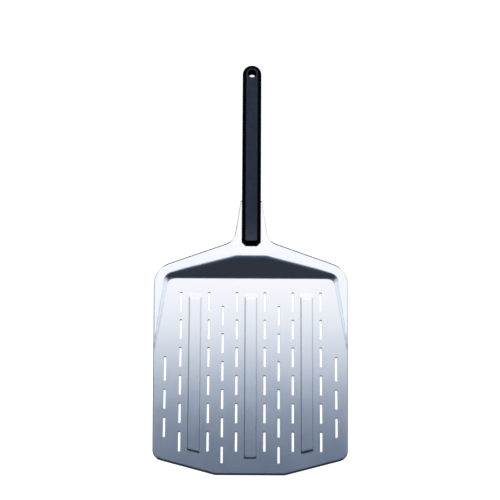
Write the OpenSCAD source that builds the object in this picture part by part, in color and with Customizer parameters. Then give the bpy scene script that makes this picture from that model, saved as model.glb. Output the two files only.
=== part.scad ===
// Perforated pizza peel: one pressed aluminium sheet (blade, neck and tang in one piece)
// held between the two shells of a moulded handle by screws from below.
//
// The peel lies flat. +Z is up, +Y runs from the blade's front edge to the handle's end,
// and the origin is under the middle of the whole peel, on the plane that the blade rests on.
// "Station" means the distance from the blade's front edge along +Y.

/* [Whole peel] */
// Length from the front edge to the end of the handle
overall_length = 655; // [640:1:700]

/* [Blade] */
// Thickness of the sheet
sheet_t = 2; // [1.6:0.1:2.4]
// Width of the blade just behind its front corners
blade_front_w = 303.6; // [302:0.2:308]
// Width of the blade at its shoulders
blade_rear_w = 310; // [306:1:312]
// Width of the straight middle of the front edge
front_flat_w = 108; // [100:1:140]
// Angle at which the front edge sweeps back to the sides
front_sweep = 14.5; // [10:0.5:18]
// Radius of the two front corners
front_corner_r = 17; // [12:1:24]
// Width of the bevel that thins the front edge
edge_bevel_w = 3; // [1:0.5:4]
// Thickness left at the front edge
edge_t = 0.9; // [0.6:0.1:1.4]

/* [Shoulders and neck] */
// Station where the side lines and the shoulder lines would meet
shoulder_station = 324; // [320:1:328]
// Angle at which the shoulders sweep back to the neck
shoulder_sweep = 18.5; // [17:0.5:20]
// Radius of the rear corners of the blade
shoulder_r = 35; // [24:1:40]
// Half width of the neck where it leaves the shoulders
neck_root_x = 27.6; // [27:0.1:30]
// Radius between the shoulders and the neck
neck_root_r = 22; // [12:1:24]
// Half width of the neck at its far end
neck_end_x = 17.4; // [16.5:0.1:19]
// Station of the neck's far end, beside the handle
neck_end_station = 432; // [425:1:440]
// Width of the tang inside the handle
tang_w = 17; // [14:0.5:18]
// Station of the tang's far end
tang_end_station = 567; // [560:1:575]
// Radius between the neck's far end and the tang
tang_root_r = 3; // [1:0.5:4]

/* [Pressed step] */
// Height of the neck above the blade
neck_rise = 13.5; // [12:0.1:14]
// Station of the foot of the step
step_station = 309.5; // [305:0.5:311]
// Angle of the step
step_angle = 24; // [20:0.5:25]
// Inside radius at the foot of the step
step_foot_r = 12; // [8:1:20]
// Half width of the level strip that runs from the step into the neck
level_strip_x = 25; // [22:0.5:27]
// Distance from the middle to the rear corner of the tray
tray_corner_x = 133.5; // [130:0.5:140]
// Station of the rear corner of the tray
tray_corner_station = 303; // [295:1:305]
// Station where the tray's side crease runs out at the blade's edge
tray_runout_station = 185; // [170:1:225]
// Angle of the tray's sides
tray_side_angle = 20; // [15:1:45]

/* [Ribs] */
// Distance from the middle to the two side ribs
rib_pitch = 88.4; // [86:0.2:90]
// Width of a rib at its foot
rib_w = 20.4; // [16:0.2:21]
// Height of a rib above the blade
rib_h = 1.6; // [1:0.1:1.8]
// Width of a rib's sloping side
rib_side_w = 2.2; // [1.5:0.1:3]
// Length of the short slope at a rib's front end
rib_front_l = 2; // [1:0.1:3]
// Length of the ramp at a rib's rear end
rib_ramp_l = 7; // [3:0.5:9]
// Station of the ribs' rear end
rib_rear_station = 283; // [270:1:285]
// Distance from the middle rib's front end to the front edge
rib_margin = 25.5; // [22:0.5:28]
// Distance from the side ribs' front ends to the front edge
side_rib_margin = 27; // [22:0.5:28]

/* [Slots] */
// Width of a slot
slot_w = 3.2; // [3:0.1:4]
// Length of a slot
slot_l = 29.6; // [26:0.1:32]
// Distance between slot rows across the blade
slot_dx = 22.1; // [21:0.1:23]
// Distance between slots along a row
slot_dy = 43.8; // [42:0.1:44]
// Station of the rear end of the rearmost slots
slot_rear_station = 285; // [281:0.5:285]
// Length of the short slots nearest the front edge
short_slot_l = 25.6; // [22:0.1:28]
// Distance from the middle to the outermost rows
outer_row_x = 134.5; // [132:0.5:136]
// Length of the long slots that start the outermost rows
long_slot_l = 36.8; // [30:0.1:38]

/* [Handle] */
// Width of the handle
handle_w = 30.4; // [29:0.2:32]
// Thickness of the handle
handle_t = 26; // [26:0.5:27]
// Station of the handle's front end
handle_station = 359; // [355:0.5:360]
// Width of the bevel round the handle's faces
handle_bevel_w = 5.5; // [4.5:0.1:5.5]
// Height of the bevel round the handle's faces
handle_bevel_h = 5.2; // [4.5:0.1:5.5]
// Size of the cut across each front corner of the handle
handle_corner = 6; // [4:0.5:7]
// Radius of the corners of the handle's faces
face_corner_r = 2; // [1:0.5:3]
// Wall thickness of the shells
wall_t = 2.6; // [2:0.1:3]
// Width of the rim round the grip inlay
rim_w = 0.6; // [0.4:0.1:1]
// Height that the grip inlay stands above the rim
inlay_proud = 0.3; // [0.1:0.1:0.5]
// Thickness of the grip inlay
inlay_t = 1.6; // [1.2:0.1:2]
// Radius of the hanging hole
hang_hole_r = 6.2; // [5:0.1:6.5]
// Width of the collar round the hanging hole
hang_ring_w = 0.8; // [0.6:0.1:1.2]

/* [Fasteners] */
// Stations of the two screws through the neck, the two through the tang and the tail screw
screw_stations = [377, 415, 479, 547, 601];
// Radius of a screw's shank
shank_r = 2; // [1.5:0.1:2]
// Length of a screw's shank
shank_l = 15.5; // [14:0.5:16]
// Radius of a screw's head
head_r = 3.8; // [3:0.1:4]
// Height of a screw's head
head_h = 2.4; // [2:0.1:2.8]
// Width across the flats of a screw's socket
socket_w = 2.5; // [2:0.5:3]
// Outside radius of a threaded insert
insert_r = 2.8; // [2.6:0.1:3]
// Length of a threaded insert
insert_l = 6.4; // [5:0.1:6.6]

/* [Hidden] */
$fn = 48;

arc_step = 7.5;                              // degrees between the points of a rounded corner
big = 1000;                                  // larger than the peel, for the blocks that only cut
front_y = -overall_length / 2;
front_x = blade_front_w / 2;
rear_x = blade_rear_w / 2;
front_rise = (front_x - front_flat_w / 2) * tan(front_sweep);
neck_root_station = shoulder_station + (rear_x - neck_root_x) * tan(shoulder_sweep);

half_w = handle_w / 2;
half_t = handle_t / 2;
mid_z = sheet_t / 2 + neck_rise;             // the plane between the two shells
handle_y = front_y + handle_station;
hang_y = overall_length / 2 - half_w;        // centre of the handle's round end and its hole
face_x = half_w - handle_bevel_w;            // half width of the handle's flat faces
face_y = handle_y + handle_bevel_w;
inlay_floor = half_t - inlay_t;              // heights above mid_z
rim_top = half_t - inlay_proud;

roof_under_inlay = 2.2;                      // left between the inlay and the hollow
bay_x = half_w - wall_t;
bay_chamfer = 3.6;
web_t = 2;                                   // thickness of the webs across the hollow
web_stations = [369, 397, 431, 463, 497, 531, 563, 589, 617];
hang_boss_r = hang_hole_r + wall_t;

plan_gap = 0.15;                             // round the tang inside the handle
bore_gap = 0.05;                             // between a screw and its insert
hole_gap = 0.25;                             // between a screw and the holes that it passes
head_gap = 0.4;                              // between a screw's head and its counterbore
seat_depth = 8.5;                            // from mid_z down to the screw seats
boss_wall = 2;
insert_z = sheet_t / 2 + 0.2;                // from mid_z up to the inserts

// ---- Outlines with rounded corners -------------------------------------------------

function unit(v) = v / norm(v);

// The arc that rounds the corner at b, between the lines to a and c, with radius b[2].
function corner(a, b, c) =
    let (p = [b[0], b[1]],
         u = unit([a[0], a[1]] - p),
         v = unit([c[0], c[1]] - p),
         half = acos(u * v) / 2,
         centre = p + unit(u + v) * b[2] / sin(half),
         from = p + u * b[2] / tan(half) - centre,
         turn = cross(from, p - centre) > 0 ? 1 : -1,
         sweep = 180 - 2 * half,
         n = max(1, ceil(sweep / arc_step)))
    [for (i = [0:n])
        let (t = turn * sweep * i / n)
        centre + [from[0] * cos(t) - from[1] * sin(t), from[0] * sin(t) + from[1] * cos(t)]];

// Points of an outline given as [x, y, radius]; a corner with radius 0 stays sharp.
function rounded(points) =
    let (n = len(points))
    [for (i = [0:n - 1])
        let (b = points[i])
        each b[2] > 0 ? corner(points[(i + n - 1) % n], b, points[(i + 1) % n]) : [[b[0], b[1]]]];

// The right half of an outline and its mirror image on the left.
function mirrored(half) =
    concat(half, [for (i = [len(half) - 1:-1:0]) [-half[i][0], half[i][1], half[i][2]]]);

// ---- Blocks that cut ----------------------------------------------------------------

// Everything below a plane that holds the point [at, z], is level across the compass
// direction heading (0 is +Y, 90 is -X) and falls at the angle fall towards it.
module below_plane(at, z, heading, fall) {
    translate([at[0], at[1], z]) rotate([0, 0, heading]) rotate([-fall, 0, 0])
        translate([-big, -big, -2 * big]) cube(2 * big);
}

// A section drawn across the peel, in X and Z, drawn out from y_from to y_to.
module along_peel(y_from, y_to) {
    translate([0, y_to, 0]) rotate([90, 0, 0]) linear_extrude(y_to - y_from) children();
}

// ---- Blade --------------------------------------------------------------------------

module blade_outline() {
    polygon(rounded([for (p = mirrored([
        [front_flat_w / 2, 0, 14],
        [front_x, front_rise, front_corner_r],
        [rear_x, shoulder_station, shoulder_r],
        [neck_root_x, neck_root_station, neck_root_r],
        [neck_end_x, neck_end_station, 2],
        [tang_w / 2, neck_end_station, tang_root_r],
        [tang_w / 2, tang_end_station, 4]
    ])) [p[0], front_y + p[1], p[2]]]));
}

// Runs along the whole peel: level over the neck, falling to the blade's side edges.
module roof(depth) {
    crease_r = 80;
    along_peel(-big, big) polygon(rounded([
        [-rear_x, -depth, 0], [rear_x, -depth, 0], [rear_x, 0, 0],
        [level_strip_x, neck_rise, crease_r], [-level_strip_x, neck_rise, crease_r], [-rear_x, 0, 0]
    ]));
}

// The tray in front of the step, open above: flat floor, rounded foot and sloping step.
module tray() {
    rise = neck_rise + 20;
    foot_y = front_y + step_station;
    intersection() {
        translate([-big, 0, 0]) rotate([90, 0, 90]) linear_extrude(2 * big) polygon(rounded([
            [front_y - 20, 0, 0],
            [foot_y, 0, step_foot_r],
            [foot_y + rise / tan(step_angle), rise, 0],
            [front_y - 20, rise, 0]
        ]));
        tray_side(-1);
        tray_side(1);
    }
}

// Everything inward of one of the tray's sloping sides.
module tray_side(side) {
    splay = atan2(rear_x - tray_corner_x, tray_corner_station - tray_runout_station);
    translate([side * tray_corner_x, front_y + tray_corner_station, 0])
        rotate([0, 0, side * splay]) rotate([0, side * (90 - tray_side_angle), 0])
        translate([side > 0 ? -2 * big : 0, -big, -big]) cube(2 * big);
}

// The side ribs end parallel to the swept part of the front edge.
module rib(x) {
    swept = x != 0;
    sweep_y = swept ? (abs(x) - front_flat_w / 2) * tan(front_sweep) + side_rib_margin : rib_margin;
    foot = rib_w / 2;
    top = foot - rib_side_w;
    intersection() {
        along_peel(-big, big) polygon([
            [x - foot, -0.5], [x + foot, -0.5], [x + foot, 0],
            [x + top, rib_h], [x - top, rib_h], [x - foot, 0]
        ]);
        below_plane([x, front_y + rib_rear_station], 0, 0, atan2(rib_h, rib_ramp_l));
        below_plane([x, front_y + sweep_y], 0, 180 + (swept ? sign(x) * front_sweep : 0),
                    atan2(rib_h, rib_front_l));
    }
}

// Everything below the sheet's underside, down to depth. Raised by the sheet's thickness,
// it is everything below the sheet's top.
module terrain(depth) {
    difference() {
        roof(depth);
        tray();
    }
    for (x = [-rib_pitch, 0, rib_pitch]) rib(x);
}

module slot(x, rear_station, length) {
    y = front_y + rear_station;
    end = slot_w / 2;
    translate([x, y - end]) circle(end);
    translate([x, y - length + end]) circle(end);
    translate([x - end, y - length + end]) square([slot_w, length - slot_w]);
}

// Rows of slots that alternate by half a pitch, three of each kind on either side.
module slots() {
    last = 5;
    first_outer = 2;
    staggered = slot_rear_station - slot_dy / 2;
    for (side = [-1, 1], i = [0:last]) {
        for (row = [1, 3, 5]) slot(side * row * slot_dx, slot_rear_station - i * slot_dy, slot_l);
        slot(side * 2 * slot_dx, staggered - i * slot_dy, i == last ? short_slot_l : slot_l);
    }
    for (side = [-1, 1], i = [first_outer:last - 1]) {
        extra = i == first_outer ? long_slot_l - slot_l : 0;
        slot(side * outer_row_x, staggered - i * slot_dy + extra, slot_l + extra);
    }
}

// Everything below the bevel along one straight stretch of the front edge.
module edge_bevel(x, sweep) {
    below_plane([x, front_y], edge_t, 180 + sweep, atan2(sheet_t - edge_t, edge_bevel_w));
}

module blade() {
    color("#c9d3de") difference() {
        intersection() {
            translate([0, 0, -big / 2]) linear_extrude(big) blade_outline();
            translate([0, 0, sheet_t]) terrain(2 * sheet_t);
            edge_bevel(0, 0);
            edge_bevel(front_flat_w / 2, front_sweep);
            edge_bevel(-front_flat_w / 2, -front_sweep);
        }
        terrain(4 * sheet_t);
        translate([0, 0, -1]) linear_extrude(sheet_t + 2) slots();
        at_screws(mid_z - 2 * sheet_t) cylinder(r = shank_r + hole_gap, h = 4 * sheet_t);
    }
}

// ---- Handle -------------------------------------------------------------------------
// Heights in the handle are measured from mid_z, the plane between its shells.

// Repeats its children on the axis of every screw, raised by z.
module at_screws(z) {
    for (station = screw_stations) translate([0, front_y + station, z]) children();
}

module handle_outline() {
    square_y = handle_y + handle_corner;
    polygon(rounded([
        [half_w - handle_corner, handle_y, 1],
        [half_w, square_y, 1],
        [half_w, hang_y + half_w, half_w - 0.01],
        [-half_w, hang_y + half_w, half_w - 0.01],
        [-half_w, square_y, 1],
        [handle_corner - half_w, handle_y, 1]
    ]));
}

// The flat faces' outline, brought in by inset.
module face_outline(inset) {
    x = face_x - inset;
    y = face_y + inset;
    translate([0, hang_y]) circle(x, $fn = 48);
    polygon(rounded([[x, y, face_corner_r], [x, hang_y, 0], [-x, hang_y, 0], [-x, y, face_corner_r]]));
}

// One half of the handle's outside: bevelled up to the height top, for the upper half.
module handle_half(top) {
    hull() {
        linear_extrude(half_t - handle_bevel_h) handle_outline();
        linear_extrude(top) face_outline(0);
    }
}

// The hollow of one half, in bays between webs.
module bays(depth) {
    ends = concat([for (station = web_stations) front_y + station], [hang_y - hang_boss_r + web_t]);
    for (i = [0:len(ends) - 2])
        along_peel(ends[i] + web_t / 2, ends[i + 1] - web_t / 2) polygon([
            [-bay_x, -1], [bay_x, -1], [bay_x, depth - bay_chamfer],
            [bay_x - bay_chamfer, depth], [bay_chamfer - bay_x, depth], [-bay_x, depth - bay_chamfer]
        ]);
}

// The room between the shells for the neck and the tang.
module sheet_pocket() {
    neck_end = front_y + neck_end_station;
    neck_room = neck_end + plan_gap - (handle_y - 1);
    pocket_block(big, handle_y - 1, neck_room);
    pocket_block(tang_w + 2 * (tang_root_r + plan_gap), neck_end, tang_root_r + plan_gap);
    pocket_block(tang_w + 2 * plan_gap, neck_end, tang_end_station - neck_end_station + plan_gap);
}

module pocket_block(width, y, length) {
    translate([-width / 2, y, -sheet_t / 2]) cube([width, length, sheet_t]);
}

module hang_hole(r) {
    translate([0, hang_y, -handle_t]) cylinder(r = r, h = 2 * handle_t);
}

// The upper shell holds the grip inlay in a recess and the threaded inserts in bosses.
module handle_top_shell() {
    ceiling = inlay_floor - roof_under_inlay;
    color("#15171a") translate([0, 0, mid_z]) difference() {
        handle_half(rim_top);
        difference() {
            bays(ceiling);
            at_screws(-2) cylinder(r = insert_r + boss_wall, h = half_t);
        }
        difference() {
            translate([0, 0, inlay_floor]) linear_extrude(half_t) face_outline(rim_w);
            hang_hole(hang_hole_r + hang_ring_w);
        }
        sheet_pocket();
        hang_hole(hang_hole_r);
        at_screws(-1) cylinder(r = insert_r, h = insert_z + insert_l + 1);
    }
}

// The lower shell has counterbores for the screws from below.
module handle_bottom_shell() {
    color("#15171a") translate([0, 0, mid_z]) difference() {
        mirror([0, 0, 1]) handle_half(half_t);
        difference() {
            mirror([0, 0, 1]) bays(half_t - wall_t);
            at_screws(-half_t) cylinder(r = head_r + head_gap + boss_wall, h = handle_t);
        }
        sheet_pocket();
        hang_hole(hang_hole_r);
        at_screws(-half_t) cylinder(r = shank_r + hole_gap, h = handle_t);
        at_screws(-half_t - 1) cylinder(r = head_r + head_gap, h = half_t + 1 - seat_depth);
    }
}

// The textured grip fills the recess and stands a little above its rim.
module top_grip_inlay() {
    color("#39424f") translate([0, 0, mid_z]) difference() {
        translate([0, 0, inlay_floor]) linear_extrude(inlay_t) face_outline(rim_w);
        hang_hole(hang_hole_r + hang_ring_w);
    }
}

module handle_screws() {
    socket_depth = head_h * 0.6;
    head_chamfer = 0.5;
    color("#8d9196") at_screws(mid_z - seat_depth) difference() {
        union() {
            translate([0, 0, -head_h]) cylinder(r1 = head_r - head_chamfer, r2 = head_r, h = head_chamfer);
            translate([0, 0, head_chamfer - head_h]) cylinder(r = head_r, h = head_h - head_chamfer);
            cylinder(r = shank_r, h = shank_l);
        }
        translate([0, 0, -head_h - 1]) cylinder(d = socket_w / cos(30), h = socket_depth + 1, $fn = 6);
    }
}

module threaded_inserts() {
    color("#b08d3e") at_screws(mid_z + insert_z) difference() {
        cylinder(r = insert_r, h = insert_l);
        translate([0, 0, -1]) cylinder(r = shank_r + bore_gap, h = insert_l + 2);
    }
}

blade();
handle_top_shell();
handle_bottom_shell();
top_grip_inlay();
handle_screws();
threaded_inserts();
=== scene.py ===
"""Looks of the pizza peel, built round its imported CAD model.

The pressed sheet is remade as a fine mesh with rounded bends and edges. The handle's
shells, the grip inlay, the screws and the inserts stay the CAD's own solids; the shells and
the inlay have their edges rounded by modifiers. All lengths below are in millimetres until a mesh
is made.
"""
import math
import bpy
import numpy as np
from mathutils import Matrix, Vector
from mathutils.geometry import delaunay_2d_cdt


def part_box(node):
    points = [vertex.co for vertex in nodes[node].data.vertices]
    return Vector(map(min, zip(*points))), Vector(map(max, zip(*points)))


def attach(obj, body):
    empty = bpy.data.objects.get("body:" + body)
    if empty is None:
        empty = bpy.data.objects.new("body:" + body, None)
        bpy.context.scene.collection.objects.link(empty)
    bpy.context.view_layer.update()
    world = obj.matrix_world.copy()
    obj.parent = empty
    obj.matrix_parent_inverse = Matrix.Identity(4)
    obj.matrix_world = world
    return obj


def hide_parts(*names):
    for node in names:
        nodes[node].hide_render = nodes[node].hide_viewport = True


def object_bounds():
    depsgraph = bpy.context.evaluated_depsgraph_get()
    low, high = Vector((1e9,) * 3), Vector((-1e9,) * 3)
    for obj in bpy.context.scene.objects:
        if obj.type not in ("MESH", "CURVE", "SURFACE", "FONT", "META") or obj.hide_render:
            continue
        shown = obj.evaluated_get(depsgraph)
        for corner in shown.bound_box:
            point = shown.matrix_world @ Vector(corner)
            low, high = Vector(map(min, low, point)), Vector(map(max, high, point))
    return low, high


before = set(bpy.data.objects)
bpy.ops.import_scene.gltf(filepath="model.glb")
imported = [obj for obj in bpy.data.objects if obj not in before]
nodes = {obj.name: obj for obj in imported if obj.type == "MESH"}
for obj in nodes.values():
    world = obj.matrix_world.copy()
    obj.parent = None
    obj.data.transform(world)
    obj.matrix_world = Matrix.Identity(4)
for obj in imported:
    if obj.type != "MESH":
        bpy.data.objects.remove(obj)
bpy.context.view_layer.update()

MM = 0.001

# ---- Camera ---------------------------------------------------------------------------

CAMERA_DISTANCE = 2.0
CAMERA_TILT = math.radians(10.2)      # the camera leans towards the blade's front edge
CAMERA_ROLL = math.radians(0.3)
CAMERA_LENS = 90.14
LOOK_AT = Vector((-0.0019, 0.0268, 0.002))


def make_camera():
    data = bpy.data.cameras.new("camera")
    data.lens = CAMERA_LENS
    data.sensor_width = 36.0
    camera = bpy.data.objects.new("camera", data)
    back = Vector((0.0, -math.sin(CAMERA_TILT), math.cos(CAMERA_TILT)))
    turned = Matrix.Rotation(CAMERA_TILT, 3, "X") @ Matrix.Rotation(CAMERA_ROLL, 3, "Z")
    camera.location = LOOK_AT + CAMERA_DISTANCE * back
    camera.rotation_euler = turned.to_euler()
    bpy.context.collection.objects.link(camera)
    bpy.context.scene.camera = camera


make_camera()

# ---- Sizes of the sheet -----------------------------------------------------------------
# Those that the frame gives are read from it. Stations run from the front edge along +Y.

blade_low, blade_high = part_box("blade")
shell_low, shell_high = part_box("handle_top_shell")
FRONT_Y = blade_low[1] / MM
REAR_Y = blade_high[1] / MM
REAR_X = 155.0
FRONT_X = 151.8
FLAT_X = 54.0
SHEET_T = 2.0
NECK_RISE = blade_high[2] / MM - SHEET_T
FRONT_SWEEP = math.radians(14.5)
SHOULDER_SWEEP = math.radians(18.5)
SHOULDER_STATION = 324.0
NECK_ROOT_X = 27.6
NECK_END_X = 17.4
NECK_END_STATION = 432.0
TANG_X = 8.5

STEP_STATION = 309.5
STEP_SLOPE = math.tan(math.radians(24.0))
LEVEL_X = 25.0
TRAY_CORNER = (133.5, 303.0)
TRAY_RUNOUT_STATION = 185.0
TRAY_SIDE_SLOPE = math.tan(math.radians(20.0))

RIB_PITCH = 88.4
RIB_W = 20.4
RIB_H = 1.6
RIB_SIDE_W = 2.2
RIB_RAMP_L = 7.0
RIB_FRONT_L = 2.0
RIB_EASE = 1.3
RIB_REAR_STATION = 283.0
RIB_MARGIN = 25.5
SIDE_RIB_MARGIN = 27.0

# The height over which each crease is rounded.
RIB_CORNER_EASE = 1.4
RIB_CREASE_EASE = 0.06
NECK_EASE = 0.45
TRAY_CORNER_EASE = 4.5
TRAY_FOOT_EASE = 0.8
TRAY_RIM_EASE = 2.0
TRAY_RIM_FADE_H = 6.0     # the rim's rounding fades away where the sheet is lower than this
BEVEL_EASE = 0.12

SLOT_W = 3.2
SLOT_L = 29.6
SLOT_DX = 22.1
SLOT_DY = 43.8
SLOT_REAR_STATION = 285.0
SHORT_SLOT_L = 25.6
OUTER_ROW_X = 134.5
LONG_SLOT_L = 36.8

BEVEL_W = 3.0
EDGE_T = 0.9
# How each edge is broken: (distance in from the edge, distance down from the face).
EDGE_TOP = ((1.9, 0.0), (1.75, 0.05), (0.1, 0.88), (0.02, 0.96), (0.0, 1.1))
EDGE_UNDER = ((0.4, 0.0), (0.12, 0.12), (0.0, 0.4))
SLOT_TOP_R = 0.45
SLOT_REAR_EXTRA = 1.5     # the rear end of each slot is rolled over this much further
SLOT_UNDER_R = 0.3

SCREW_STATIONS = (377.0, 415.0, 479.0, 547.0)
SCREW_HOLE_R = 2.25
# Painted reflection: the grip's colour is made paler over this length from its neck end, standing
# in for a brighter reflection there.
GRIP_SHEEN_L = 32.0        # the grip is paler over this length from its neck end

# How finely the sheet is meshed. Bands of stations are (from, to, spacing).
OUTLINE_STEP = 2.5
SLOT_STEP = 4.0
GRID_DX = 3.0
GRID_DY = 3.5
CREASE_BAND = 0.18        # to each side of a rib's crease
CREASE_DX = 0.06
TRAY_SIDE_FROM_X = 128.0
TRAY_SIDE_DX = 0.8
FINE_BANDS = (
    (24.0, 29.5, 0.35),     # front of the middle rib
    (29.5, 42.5, 0.4),      # fronts of the side ribs
    (273.0, 285.0, 0.9),    # rear ramps of the ribs
    (300.0, 314.0, 0.6),    # foot of the step
    (314.0, 352.0, 0.9),    # the step and its top
)
CLOSEST_X = 0.05
CLOSEST_Y = 0.3
OUTLINE_CLEAR = 1.2       # the grid keeps this far from the ring along the outline
SLOT_CLEAR = 0.9
BEVEL_CLEAR = 5.0
OUTLINE_RING = 0.4
SLOT_RING = 0.35
BEVEL_RINGS = (2.1, 2.5, 2.8, 3.1, 3.5, 4.1)

# ---- Outlines ---------------------------------------------------------------------------


def unit(v):
    return v / np.linalg.norm(v)


def rounded(corners, degrees=6.0):
    """Points of a closed outline given as (x, y, radius) corners, degrees apart on arcs."""
    points = []
    count = len(corners)
    for i, (x, y, r) in enumerate(corners):
        here = np.array([x, y])
        if r == 0:
            points.append(here)
            continue
        u = unit(np.array(corners[i - 1][:2]) - here)
        v = unit(np.array(corners[(i + 1) % count][:2]) - here)
        half = math.acos(float(u @ v)) / 2
        centre = here + unit(u + v) * r / math.sin(half)
        start = here + u * r / math.tan(half) - centre
        to_corner = here - centre
        turn = math.copysign(1.0, start[0] * to_corner[1] - start[1] * to_corner[0])
        sweep = math.pi - 2 * half
        steps = max(2, math.ceil(math.degrees(sweep) / degrees))
        for k in range(steps + 1):
            a = turn * sweep * k / steps
            points.append(centre + np.array([start[0] * math.cos(a) - start[1] * math.sin(a),
                                             start[0] * math.sin(a) + start[1] * math.cos(a)]))
    return np.array(points)


def densified(loop, step):
    """The same closed outline, with no side longer than step."""
    points = []
    for a, b in zip(loop, np.roll(loop, -1, axis=0)):
        parts = max(1, math.ceil(np.linalg.norm(b - a) / step))
        points.extend(a + (b - a) * k / parts for k in range(parts))
    return np.array(points)


def shifted(loop, distance):
    """A closed outline moved to its left by distance: inwards when it runs anticlockwise."""
    before = loop - np.roll(loop, 1, axis=0)
    after = np.roll(loop, -1, axis=0) - loop
    before = before / np.linalg.norm(before, axis=1)[:, None]
    after = after / np.linalg.norm(after, axis=1)[:, None]
    mean = before + after
    mean = mean / np.linalg.norm(mean, axis=1)[:, None]
    normal = np.stack([-mean[:, 1], mean[:, 0]], axis=1)
    cosine = (normal[:, 0] * -before[:, 1] + normal[:, 1] * before[:, 0])
    return loop + normal * (distance / np.maximum(cosine, 0.5))[:, None]


def sheet_outline():
    front_rise = (FRONT_X - FLAT_X) * math.tan(FRONT_SWEEP)
    root_station = SHOULDER_STATION + (REAR_X - NECK_ROOT_X) * math.tan(SHOULDER_SWEEP)
    half = [(FLAT_X, 0.0, 14.0), (FRONT_X, front_rise, 17.0), (REAR_X, SHOULDER_STATION, 35.0),
            (NECK_ROOT_X, root_station, 22.0), (NECK_END_X, NECK_END_STATION, 2.0),
            (TANG_X, NECK_END_STATION, 3.0), (TANG_X, REAR_Y - FRONT_Y, 4.0)]
    corners = half + [(-x, station, r) for x, station, r in reversed(half)]
    return rounded([(x, FRONT_Y + station, r) for x, station, r in corners])


def slot_loop(x, rear_station, length, arc_steps=8):
    """A slot's outline, clockwise so that its left is the sheet."""
    r = SLOT_W / 2
    rear = FRONT_Y + rear_station - r
    front = FRONT_Y + rear_station - length + r
    points = []
    for y, start in ((rear, math.pi), (front, 0.0)):
        for k in range(arc_steps + 1):
            a = start - math.pi * k / arc_steps
            points.append((x + r * math.cos(a), y + r * math.sin(a)))
    return densified(np.array(points), SLOT_STEP)


def slot_loops():
    last, first_outer = 5, 2
    staggered = SLOT_REAR_STATION - SLOT_DY / 2
    loops = []
    for side in (-1, 1):
        for i in range(last + 1):
            for row in (1, 3, 5):
                rear = SLOT_REAR_STATION - i * SLOT_DY
                loops.append(slot_loop(side * row * SLOT_DX, rear, SLOT_L))
            length = SHORT_SLOT_L if i == last else SLOT_L
            loops.append(slot_loop(side * 2 * SLOT_DX, staggered - i * SLOT_DY, length))
        for i in range(first_outer, last):
            extra = LONG_SLOT_L - SLOT_L if i == first_outer else 0.0
            rear = staggered - i * SLOT_DY + extra
            loops.append(slot_loop(side * OUTER_ROW_X, rear, SLOT_L + extra))
    return loops


def hole_loop(x, y, r, steps=32):
    angles = -np.arange(steps) * 2 * math.pi / steps
    return np.stack([x + r * np.cos(angles), y + r * np.sin(angles)], axis=1)


# ---- Height of the pressed sheet ----------------------------------------------------------


def smooth_max(a, b, k):
    """The larger of a and b, with the crease between them rounded over a height of k."""
    return np.maximum(a, b) + np.maximum(k - np.abs(a - b), 0.0) ** 2 / (4 * np.maximum(k, 1e-9))


def smooth_min(a, b, k):
    return -smooth_max(-a, -b, k)


def smooth_step(t):
    t = np.clip(t, 0.0, 1.0)
    return t * t * (3 - 2 * t)


def rib_height(x, y, centre):
    """Height of one rib. The side ribs' fronts follow the swept parts of the front edge."""
    swept = centre != 0
    foot = RIB_W / 2
    per_mm = RIB_H / RIB_SIDE_W
    sweep = FRONT_SWEEP if swept else 0.0
    swept_margin = (abs(centre) - FLAT_X) * math.tan(FRONT_SWEEP) + SIDE_RIB_MARGIN
    margin = swept_margin if swept else RIB_MARGIN
    from_middle = np.abs(x - centre)
    outward = (x - centre) * math.copysign(1.0, centre) if swept else 0.0
    side = (foot - from_middle) * per_mm
    back = (y - FRONT_Y - margin) * math.cos(sweep) - outward * math.sin(sweep)
    front = back * RIB_H / RIB_FRONT_L
    from_rear = FRONT_Y + RIB_REAR_STATION + RIB_EASE - y
    rear = smooth_step(from_rear / (RIB_RAMP_L + 2 * RIB_EASE))
    ramp = smooth_min(side, front, RIB_CORNER_EASE)
    level = smooth_min(ramp, RIB_H, RIB_CREASE_EASE)
    return smooth_max(level, 0.0, RIB_CREASE_EASE) * rear


def underside(x, y):
    """Height of the sheet's underside."""
    across = np.abs(x)
    fall = (REAR_X - across) * NECK_RISE / (REAR_X - LEVEL_X)
    roof = smooth_min(fall, NECK_RISE, NECK_EASE)
    step = (y - FRONT_Y - STEP_STATION) * STEP_SLOPE
    corner_x, corner_station = TRAY_CORNER
    along = np.array([REAR_X - corner_x, TRAY_RUNOUT_STATION - corner_station])
    outward = unit(np.array([-along[1], along[0]]))
    past = (across - corner_x) * outward[0] + (y - FRONT_Y - corner_station) * outward[1]
    wall = smooth_max(step, past * TRAY_SIDE_SLOPE, TRAY_CORNER_EASE)
    tray = smooth_max(wall, 0.0, TRAY_FOOT_EASE)
    rim_ease = TRAY_RIM_EASE * smooth_step(roof / TRAY_RIM_FADE_H) + 1e-6
    height = smooth_min(roof, tray, rim_ease)
    for centre in (-RIB_PITCH, 0.0, RIB_PITCH):
        height = height + rib_height(x, y, centre)
    return height


def from_front_edge(x, y):
    """Distance back from the nearest of the three straight stretches of the front edge."""
    straight = y - FRONT_Y
    swept = straight * math.cos(FRONT_SWEEP) - (np.abs(x) - FLAT_X) * math.sin(FRONT_SWEEP)
    return np.minimum(straight, swept)


def thickness(x, y):
    """The sheet's thickness, less over the bevel along the front edge."""
    ramp = EDGE_T + from_front_edge(x, y) * (SHEET_T - EDGE_T) / BEVEL_W
    return smooth_min(ramp, SHEET_T, BEVEL_EASE)


# ---- Meshes ---------------------------------------------------------------------------------


def new_object(name, points, faces):
    mesh = bpy.data.meshes.new(name)
    mesh.from_pydata([tuple(p * MM) for p in points], [], faces)
    mesh.validate()
    mesh.update()
    obj = bpy.data.objects.new(name, mesh)
    bpy.context.collection.objects.link(obj)
    return obj


def lines(low, high, step):
    return np.linspace(low, high, max(2, math.ceil((high - low) / step) + 1))


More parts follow.
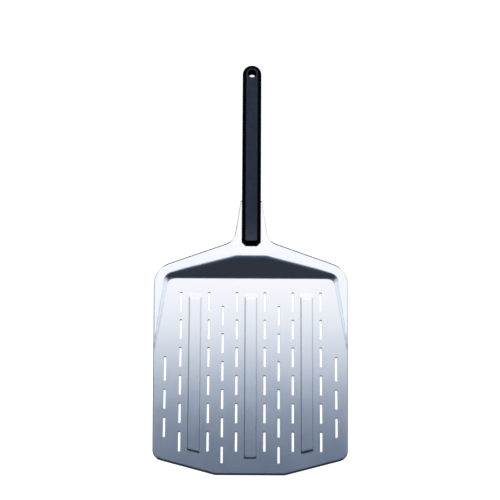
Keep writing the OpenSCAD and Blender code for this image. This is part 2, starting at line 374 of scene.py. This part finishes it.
def grid_points():
    """Points spread over the sheet, close together where it bends."""
    foot = RIB_W / 2
    xs = [lines(-REAR_X, REAR_X, GRID_DX)]
    for centre in (-RIB_PITCH, 0.0, RIB_PITCH):
        for side in (-1, 1):
            for crease in (foot, foot - RIB_SIDE_W):
                band = lines(crease - CREASE_BAND, crease + CREASE_BAND, CREASE_DX)
                xs.append(centre + side * band)
    for side in (-1, 1):
        xs.append(side * lines(TRAY_SIDE_FROM_X, REAR_X, TRAY_SIDE_DX))
    stations = [lines(0.0, REAR_Y - FRONT_Y, GRID_DY)] + [lines(*band) for band in FINE_BANDS]
    x = thinned(np.concatenate(xs), CLOSEST_X)
    y = FRONT_Y + thinned(np.concatenate(stations), CLOSEST_Y)
    return np.stack(np.meshgrid(x, y), axis=-1).reshape(-1, 2)


def thinned(values, gap):
    """Sorted values without any that follow the one before by less than gap."""
    kept = []
    for value in np.sort(values):
        if not kept or value - kept[-1] >= gap:
            kept.append(value)
    return np.array(kept)


def inside(points, loop):
    """Which points lie inside a closed outline."""
    result = np.zeros(len(points), dtype=bool)
    px, py = points[:, 0], points[:, 1]
    for (ax, ay), (bx, by) in zip(loop, np.roll(loop, -1, axis=0)):
        crosses = (ay > py) != (by > py)
        if ay != by:
            result ^= crosses & (px < (bx - ax) * (py - ay) / (by - ay) + ax)
    return result


def within(points, loop):
    """inside(), tested only near the outline's box."""
    low, high = loop.min(axis=0), loop.max(axis=0)
    near = np.all((points >= low) & (points <= high), axis=1)
    result = np.zeros(len(points), dtype=bool)
    result[near] = inside(points[near], loop)
    return result


def filled(outline, holes, scattered):
    """Triangles over an outline with holes, with the scattered points inside it. Returns the
    points, the triangles and, for each loop in turn, where its points are."""
    loops = [outline] + holes
    points = np.concatenate(loops + [scattered])
    edges, starts = [], []
    first = 0
    for loop in loops:
        n = len(loop)
        edges.extend((first + i, first + (i + 1) % n) for i in range(n))
        starts.append(first)
        first += n
    result = delaunay_2d_cdt([Vector(p) for p in points], edges, [], 0, 1e-5)
    out_points = np.array([tuple(p) for p in result[0]])
    index_of = {old: new for new, olds in enumerate(result[3]) for old in olds}
    triangles = np.array(result[2])
    centres = out_points[triangles].mean(axis=1)
    good = within(centres, outline)
    for hole in holes:
        good &= ~within(centres, hole)
    rings = [[index_of[start + i] for i in range(len(loop))]
             for start, loop in zip(starts, loops)]
    return out_points, triangles[good], rings


def arc_profile(r, steps=5):
    """A quarter-round edge, as (distance in from the edge, distance down from the face)."""
    angles = [math.pi / 2 * k / steps for k in range(steps + 1)]
    return tuple((r * (1 - math.sin(a)), r * (1 - math.cos(a))) for a in angles)


def sheet_points(outline, hole_rims, inset):
    """Points inside the sheet: the grid, and rings that keep the faces flat up to each edge."""
    grid = grid_points()
    keep = within(grid, shifted(outline, inset + OUTLINE_CLEAR))
    keep &= from_front_edge(grid[:, 0], grid[:, 1]) > BEVEL_CLEAR
    for rim in hole_rims:
        keep &= ~within(grid, shifted(rim, SLOT_CLEAR))
    rings = [shifted(outline, inset + OUTLINE_RING)]
    rings += [shifted(rim, SLOT_RING) for rim in hole_rims]
    for distance in BEVEL_RINGS:
        ring = shifted(outline, distance)
        rings.append(ring[from_front_edge(ring[:, 0], ring[:, 1]) < distance + 0.1])
    return np.concatenate([grid[keep]] + rings)


def rear_growth(hole):
    """How many times larger the rolled edge is at each point, growing to the rear end."""
    from_rear = (hole[:, 1].max() - hole[:, 1]) / (SLOT_W / 2)
    return 1 + SLOT_REAR_EXTRA * np.clip(1 - from_rear, 0.0, 1.0)


def sheet_edges(outline):
    """Each edge as (loop, upper profile, lower profile), and the profiles' size along it."""
    holes = slot_loops()
    holes += [hole_loop(0.0, FRONT_Y + station, SCREW_HOLE_R) for station in SCREW_STATIONS]
    slot_top, slot_under = arc_profile(SLOT_TOP_R), arc_profile(SLOT_UNDER_R, 3)
    edges = [(outline, EDGE_TOP, EDGE_UNDER)]
    edges += [(hole, slot_top, slot_under) for hole in holes]
    scales = [thickness(loop[:, 0], loop[:, 1]) / SHEET_T for loop, _, _ in edges]
    for i, hole in enumerate(holes):
        scales[i + 1] *= rear_growth(hole)
    return edges, scales


def wall_levels(loop, top, under, scale):
    """The rows of points down an edge's wall, between the upper face and the lower one."""
    levels = []
    for inset, drop in top[1:]:
        place = shifted(loop, inset * scale)
        upper = underside(place[:, 0], place[:, 1]) + thickness(place[:, 0], place[:, 1])
        levels.append(np.column_stack([place, upper - drop * scale]))
    for inset, drop in reversed(under):
        place = shifted(loop, inset * scale)
        lower = underside(place[:, 0], place[:, 1])
        levels.append(np.column_stack([place, lower + drop * scale]))
    return levels


def make_sheet():
    """The blade, neck and tang: two faces, and a wall with broken edges along each edge."""
    outline = densified(sheet_outline(), OUTLINE_STEP)
    edges, scales = sheet_edges(outline)
    loops = [shifted(loop, top[0][0] * k) for (loop, top, _), k in zip(edges, scales)]
    scattered = sheet_points(outline, loops[1:], EDGE_TOP[0][0])
    flat, triangles, rings = filled(loops[0], loops[1:], scattered)
    base = underside(flat[:, 0], flat[:, 1])
    n = len(flat)
    upper_face = np.column_stack([flat, base + thickness(flat[:, 0], flat[:, 1])])
    points = [upper_face, np.column_stack([flat, base])]
    faces = [tuple(t) for t in triangles] + [tuple(t[::-1] + n) for t in triangles]
    count = 2 * n
    for (loop, top, under), k, ring in zip(edges, scales, rings):
        m = len(loop)
        rows = [ring]
        for level in wall_levels(loop, top, under, k):
            points.append(level)
            rows.append(range(count, count + m))
            count += m
        rows.append([i + n for i in ring])
        for above, below in zip(rows, rows[1:]):
            faces.extend((above[i], below[i], below[(i + 1) % m], above[(i + 1) % m])
                         for i in range(m))
    obj = new_object("sheet", np.concatenate(points), faces)
    obj.data.shade_smooth()
    flats = obj.modifiers.new("flats", "WEIGHTED_NORMAL")
    flats.weight = 80
    return obj


# ---- Materials ------------------------------------------------------------------------------

# Where a colour Mix node has its two colours, and its result.
MIX_A, MIX_B, MIX_RESULT = 6, 7, 2


class Nodes:
    """A short way to build a material's nodes."""

    def __init__(self, name, roughness, metallic=0.0, base=(0.5, 0.5, 0.5), specular=0.5):
        self.material = bpy.data.materials.new(name)
        self.material.use_nodes = True
        self.tree = self.material.node_tree
        self.shader = self.tree.nodes["Principled BSDF"]
        self.shader.inputs["Roughness"].default_value = roughness
        self.shader.inputs["Metallic"].default_value = metallic
        self.shader.inputs["Base Color"].default_value = (*base, 1.0)
        self.shader.inputs["Specular IOR Level"].default_value = specular
        self.place = self.add("ShaderNodeTexCoord").outputs["Object"]

    def add(self, kind, **inputs):
        node = self.tree.nodes.new(kind)
        for key, value in inputs.items():
            node.inputs[key.replace("_", " ")].default_value = value
        return node

    def link(self, output, target):
        self.tree.links.new(output, target)

    def stretched(self, scale):
        """The object's own position, in metres, scaled along each axis."""
        mapping = self.add("ShaderNodeMapping")
        mapping.inputs["Scale"].default_value = scale
        self.link(self.place, mapping.inputs["Vector"])
        return mapping.outputs["Vector"]

    def noise(self, scale, detail=3.0, roughness=0.5, stretch=(1.0, 1.0, 1.0)):
        node = self.add("ShaderNodeTexNoise", Scale=scale, Detail=detail, Roughness=roughness)
        self.link(self.stretched(stretch), node.inputs["Vector"])
        return node.outputs["Fac"]

    def ramp(self, source, low, high, start=0.0, end=1.0):
        """source from start to end, turned into a number or colour from low to high."""
        if isinstance(low, float):
            node = self.add("ShaderNodeMapRange", From_Min=start, From_Max=end,
                            To_Min=low, To_Max=high)
            self.link(source, node.inputs["Value"])
            return node.outputs["Result"]
        node = self.colour_mix(self.ramp(source, 0.0, 1.0, start, end))
        node.inputs[MIX_A].default_value = (*low, 1.0)
        node.inputs[MIX_B].default_value = (*high, 1.0)
        return node.outputs[MIX_RESULT]

    def colour_mix(self, factor):
        """A Mix node for colours, with its two colours still to be set."""
        node = self.tree.nodes.new("ShaderNodeMix")
        node.data_type = "RGBA"
        self.link(factor, node.inputs["Factor"])
        return node

    def bump(self, height, distance, strength=1.0, under=None):
        """A bump of that height in metres, over another one if it is given."""
        node = self.add("ShaderNodeBump", Strength=strength, Distance=distance)
        self.link(height, node.inputs["Height"])
        if under is not None:
            self.link(under, node.inputs["Normal"])
        return node.outputs["Normal"]

    def to(self, name, output):
        self.link(output, self.shader.inputs[name])


def anodised_aluminium():
    """Bead-blasted and clear anodised: fine grain, a faint rolling direction, soft smudges."""
    n = Nodes("anodised_aluminium", roughness=0.14, metallic=1.0, base=(0.93, 0.945, 0.97))
    grain = n.noise(1600.0, detail=2.0)
    rolled = n.noise(260.0, detail=3.0, stretch=(1.0, 0.06, 1.0))
    smudge = n.noise(16.0, detail=3.0, roughness=0.55)
    n.to("Base Color", n.ramp(smudge, (0.90, 0.92, 0.955), (0.95, 0.962, 0.98), 0.3, 0.7))
    n.to("Roughness", n.ramp(smudge, 0.135, 0.15, 0.3, 0.7))
    n.to("Normal", n.bump(grain, 0.0000025, under=n.bump(rolled, 0.000001)))
    return n.material


def black_nylon():
    """Glass-filled nylon with a fine spark-eroded texture, slightly shinier on worn patches."""
    n = Nodes("black_nylon", roughness=0.55, base=(0.001, 0.001, 0.0012), specular=0.05)
    texture = n.noise(2600.0, detail=3.0, roughness=0.6)
    wear = n.noise(45.0, detail=4.0)
    n.to("Base Color", n.ramp(wear, (0.0007, 0.0007, 0.001), (0.0015, 0.0015, 0.002), 0.3, 0.7))
    n.to("Roughness", n.ramp(wear, 0.48, 0.62, 0.3, 0.7))
    n.to("Normal", n.bump(texture, 0.00005))
    return n.material


def slate_grip():
    """Soft-touch slate plastic with a pebbled grain, mottled, and painted paler at the neck end as
    a painted reflection.
    """
    n = Nodes("slate_grip", roughness=0.7, base=(0.02, 0.028, 0.042), specular=0.3)
    pebble = n.add("ShaderNodeTexVoronoi", Scale=950.0)
    n.link(n.stretched((1.0, 1.0, 1.0)), pebble.inputs["Vector"])
    mottle = n.noise(110.0, detail=5.0, roughness=0.65)
    fine = n.noise(2400.0, detail=2.0)
    along = n.add("ShaderNodeSeparateXYZ")
    n.link(n.place, along.inputs["Vector"])
    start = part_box("top_grip_inlay")[0][1]
    end = start + GRIP_SHEEN_L * MM
    # Painted reflection: the grip's colour fades paler towards its neck end, standing in for a
    # brighter reflection there.
    painted_sheen = n.colour_mix(n.ramp(along.outputs["Y"], 1.0, 0.0, start, end))
    plain = n.ramp(mottle, (0.019, 0.029, 0.049), (0.031, 0.045, 0.071), 0.35, 0.65)
    paler = n.ramp(mottle, (0.042, 0.056, 0.083), (0.06, 0.076, 0.106), 0.35, 0.65)
    n.link(plain, painted_sheen.inputs[MIX_A])
    n.link(paler, painted_sheen.inputs[MIX_B])
    n.to("Base Color", painted_sheen.outputs[MIX_RESULT])
    n.to("Roughness", n.ramp(mottle, 0.62, 0.78, 0.3, 0.7))
    n.to("Normal", n.bump(pebble.outputs["Distance"], 0.00012, 0.7, under=n.bump(fine, 0.00003)))
    return n.material


def turned_metal(name, base, roughness):
    """Machined metal with fine rings round each fastener's upright axis."""
    n = Nodes(name, roughness=roughness, metallic=1.0, base=base)
    rings = n.noise(900.0, detail=2.0, stretch=(0.15, 0.15, 6.0))
    stain = n.noise(300.0, detail=3.0)
    dark = tuple(c * 0.75 for c in base)
    n.to("Base Color", n.ramp(stain, dark, base, 0.3, 0.6))
    n.to("Roughness", n.ramp(stain, roughness + 0.12, roughness, 0.3, 0.7))
    n.to("Normal", n.bump(rings, 0.00002))
    return n.material


def finish(obj, material):
    obj.data.materials.clear()
    obj.data.materials.append(material)


def soften(obj, width, segments=3):
    """Rounds the edges of a CAD solid: flat faces first lose their inner triangle edges."""
    flatten = obj.modifiers.new("flatten", "DECIMATE")
    flatten.decimate_type = "DISSOLVE"
    flatten.angle_limit = math.radians(0.5)
    bevel = obj.modifiers.new("bevel", "BEVEL")
    bevel.width = width * MM
    bevel.segments = segments
    bevel.limit_method = "ANGLE"
    bevel.angle_limit = math.radians(20.0)
    bevel.use_clamp_overlap = True
    bevel.harden_normals = True


# ---- The object -------------------------------------------------------------------------------

sheet = make_sheet()
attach(sheet, "root")
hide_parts("blade")
finish(sheet, anodised_aluminium())

nylon = black_nylon()
for shell in ("handle_top_shell", "handle_bottom_shell"):
    finish(nodes[shell], nylon)
    soften(nodes[shell], 0.4)
finish(nodes["top_grip_inlay"], slate_grip())
soften(nodes["top_grip_inlay"], 0.25)
finish(nodes["handle_screws"], turned_metal("screw_steel", (0.45, 0.46, 0.48), 0.3))
finish(nodes["threaded_inserts"], turned_metal("insert_brass", (0.72, 0.52, 0.22), 0.28))

# ---- Floor, world and lights --------------------------------------------------------------------
# What a level face reflects, by the angle from straight up towards the handle's end.
PANEL_STOPS = (
    (-90.0, (0.03, 0.034, 0.042)),
    (-22.0, (0.030, 0.036, 0.052)),
    (-10.0, (0.05, 0.07, 0.105)),
    (2.6, (0.1, 0.14, 0.215)),
    (4.4, (0.38, 0.475, 0.61)),
    (6.8, (1.00, 1.03, 1.08)),
    (8.2, (1.09, 1.07, 1.08)),
    (12.0, (1.08, 1.06, 1.07)),
    (20.0, (1.03, 1.02, 1.03)),
    (38.0, (1.03, 1.02, 1.03)),
    (48.0, (0.11, 0.15, 0.21)),
    (78.0, (0.08, 0.11, 0.16)),
    (90.0, (0.20, 0.23, 0.27)),
)
# Bright panels either side, seen by the tray's side walls.
SIDE_STOPS = (
    (-90.0, (0.03, 0.034, 0.042)),
    (-66.0, (0.03, 0.034, 0.042)),
    (-58.0, (0.42, 0.46, 0.52)),
    (-44.0, (0.42, 0.46, 0.52)),
    (-36.0, (0.030, 0.036, 0.052)),
    (-26.0, (0.030, 0.036, 0.052)),
    (-10.0, (0.40, 0.45, 0.53)),
    (-4.0, (0.60, 0.67, 0.78)),
    (3.0, (0.82, 0.88, 0.98)),
    (9.0, (1.02, 1.03, 1.05)),
    (38.0, (1.02, 1.02, 1.04)),
    (48.0, (0.11, 0.15, 0.21)),
    (90.0, (0.10, 0.13, 0.18)),
)
# The side panels take over from the others between the first two of these distances to the
# side, which is a direction's x made less by its forward y, and end between the other two.
SIDE_STARTS = (0.13, 0.24)
SIDE_START_FORWARD = 0.6
SIDE_ENDS = (0.66, 0.74)
# Beyond these distances to either side, the surroundings are dimmed.
DIM_STARTS = (0.68, 0.8)
LEFT_DIM = 0.5
RIGHT_DIM = 0.72
KEY_PLACE = (0.6, 1.4, 1.9)
KEY_SIZE = (1.6, 1.0)
KEY_POWER = 14.0
FLOOR_SIZE = 6.0
FLOOR_GAP = 0.0002
FLOOR_GLOW_SEEN = 0.9
FLOOR_GLOW_REFLECTED = 0.02
FLOOR_REFLECTED = (0.12, 0.13, 0.15)


def floor_paper():
    """White paper that glows for the camera only, and looks darker in reflections."""
    n = Nodes("floor_paper", roughness=0.9, base=(0.6, 0.605, 0.61), specular=0.1)
    seen = n.add("ShaderNodeLightPath").outputs["Is Camera Ray"]
    shade = n.colour_mix(seen)
    shade.inputs[MIX_A].default_value = (*FLOOR_REFLECTED, 1.0)
    tone = n.noise(3.0, detail=2.0)
    paper = n.ramp(tone, (0.58, 0.585, 0.59), (0.62, 0.623, 0.626), 0.3, 0.7)
    n.link(paper, shade.inputs[MIX_B])
    n.to("Base Color", shade.outputs[MIX_RESULT])
    n.shader.inputs["Emission Color"].default_value = (1.0, 1.0, 1.0, 1.0)
    n.to("Emission Strength", n.ramp(seen, FLOOR_GLOW_REFLECTED, FLOOR_GLOW_SEEN))
    return n.material


def make_floor():
    low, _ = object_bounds()
    mesh = bpy.data.meshes.new("floor")
    z = low[2] - FLOOR_GAP
    size = FLOOR_SIZE
    corners = [(-size, -size, z), (size, -size, z), (size, size, z), (-size, size, z)]
    mesh.from_pydata(corners, [], [(0, 1, 2, 3)])
    floor = bpy.data.objects.new("floor", mesh)
    bpy.context.collection.objects.link(floor)
    mesh.materials.append(floor_paper())


class WorldNodes:
    """A short way to build the world's nodes."""

    def __init__(self, world):
        self.tree = world.node_tree

    def add(self, kind, **settings):
        node = self.tree.nodes.new(kind)
        for key, value in settings.items():
            setattr(node, key, value)
        return node

    def join(self, *pairs):
        for output, target in pairs:
            self.tree.links.new(output, target)

    def maths(self, operation, *operands):
        """The result of a sum on numbers and other nodes' outputs."""
        node = self.add("ShaderNodeMath", operation=operation)
        for target, operand in zip(node.inputs, operands):
            if isinstance(operand, float):
                target.default_value = operand
            else:
                self.join((operand, target))
        return node.outputs["Value"]

    def ranged(self, source, low, high, to_low, to_high):
        node = self.add("ShaderNodeMapRange")
        limits = {"From Min": low, "From Max": high, "To Min": to_low, "To Max": to_high}
        for key, value in limits.items():
            node.inputs[key].default_value = value
        self.join((source, node.inputs["Value"]))
        return node.outputs["Result"]

    def times(self, a, b):
        node = self.add("ShaderNodeVectorMath", operation="MULTIPLY")
        self.join((a, node.inputs[0]), (b, node.inputs[1]))
        return node.outputs["Vector"]

    def gradient(self, source, stops):
        """Colours given at angles from -90 to 90 degrees, with source going from 0 to 1."""
        node = self.add("ShaderNodeValToRGB")
        elements = node.color_ramp.elements
        for degrees, colour in stops[1:-1]:
            elements.new((degrees + 90.0) / 180.0).color = (*colour, 1.0)
        elements[0].color = (*stops[0][1], 1.0)
        elements[len(elements) - 1].color = (*stops[-1][1], 1.0)
        self.join((source, node.inputs["Fac"]))
        return node.outputs["Color"]


def surroundings_colour(w):
    """The colour that a reflection finds in each direction."""
    split = w.add("ShaderNodeSeparateXYZ")
    w.join((w.add("ShaderNodeTexCoord").outputs["Generated"], split.inputs["Vector"]))
    across, along = split.outputs["X"], split.outputs["Y"]
    turn = w.ranged(w.maths("ARCSINE", along), -math.pi / 2, math.pi / 2, 0.0, 1.0)
    sideways = w.maths("ABSOLUTE", across)
    forward = w.maths("MINIMUM", along, 0.0)
    reach = w.maths("MULTIPLY_ADD", forward, SIDE_START_FORWARD, sideways)
    share = w.maths("MULTIPLY", w.ranged(reach, *SIDE_STARTS, 0.0, 1.0),
                    w.ranged(sideways, *SIDE_ENDS, 1.0, 0.0))
    panels = w.add("ShaderNodeMix", data_type="RGBA")
    w.join((share, panels.inputs["Factor"]),
           (w.gradient(turn, PANEL_STOPS), panels.inputs[MIX_A]),
           (w.gradient(turn, SIDE_STOPS), panels.inputs[MIX_B]))
    near, far = DIM_STARTS
    left = w.ranged(across, -far, -near, LEFT_DIM, 1.0)
    right = w.ranged(across, near, far, 1.0, RIGHT_DIM)
    return w.times(w.times(panels.outputs[MIX_RESULT], left), right)


def make_world():
    """Studio surroundings: dark in front of the blade, a broad white panel above and behind
    the handle, greyer towards the sides and the horizon. Only reflections see them: the
    backdrop itself is white."""
    world = bpy.data.worlds.new("studio")
    bpy.context.scene.world = world
    world.use_nodes = True
    w = WorldNodes(world)
    surroundings = w.tree.nodes["Background"]
    backdrop = w.add("ShaderNodeBackground")
    backdrop.inputs["Color"].default_value = (1.0, 1.0, 1.0, 1.0)
    mix = w.add("ShaderNodeMixShader")
    w.join((surroundings_colour(w), surroundings.inputs["Color"]),
           (w.add("ShaderNodeLightPath").outputs["Is Camera Ray"], mix.inputs[0]),
           (surroundings.outputs["Background"], mix.inputs[1]),
           (backdrop.outputs["Background"], mix.inputs[2]),
           (mix.outputs["Shader"], w.tree.nodes["World Output"].inputs["Surface"]))


def make_light(name, place, target, size, power):
    data = bpy.data.lights.new(name, "AREA")
    data.shape = "RECTANGLE"
    data.size, data.size_y = size
    data.energy = power
    light = bpy.data.objects.new(name, data)
    light.location = place
    light.rotation_euler = (Vector(target) - Vector(place)).to_track_quat("-Z", "Y").to_euler()
    light.visible_glossy = False
    bpy.context.collection.objects.link(light)


make_floor()
make_world()
make_light("key", KEY_PLACE, (0.0, 0.0, 0.0), KEY_SIZE, KEY_POWER)
bpy.context.scene.view_settings.view_transform = "Standard"
